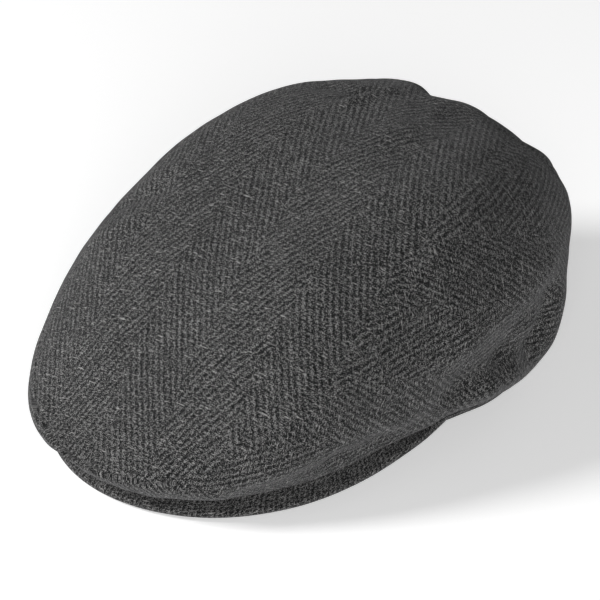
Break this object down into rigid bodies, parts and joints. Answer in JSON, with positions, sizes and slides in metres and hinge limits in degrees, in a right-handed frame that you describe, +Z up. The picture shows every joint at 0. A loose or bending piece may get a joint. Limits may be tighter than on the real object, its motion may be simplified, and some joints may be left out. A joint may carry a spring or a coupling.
{
  "type": "flat cap",
  "caption": "Flat cap in charcoal herringbone wool: a low crown of a top panel and side panels over a short stiff peak, with a narrow band round the head opening",
  "frame": {"origin": "The middle of the cap's bounding box in plan, at the height of the surface that the cap rests on", "axes": "+Z up. The peak points to -Y and the back of the cap to +Y. The wearer's left is +X."},
  "size_m": [0.2028, 0.2846, 0.1201],
  "materials": {
    "crown_cloth": "matt charcoal herringbone wool with a short nap",
    "band_cloth": "matt dark grey wool, plain",
    "peak_cloth": "matt charcoal wool stretched over a stiff peak"
  },
  "bodies": {
    "root": {"top_panel": "crown_cloth", "side_panel_left": "crown_cloth", "side_panel_right": "crown_cloth", "band": "band_cloth", "peak": "peak_cloth"}
  },
  "joints": []
}
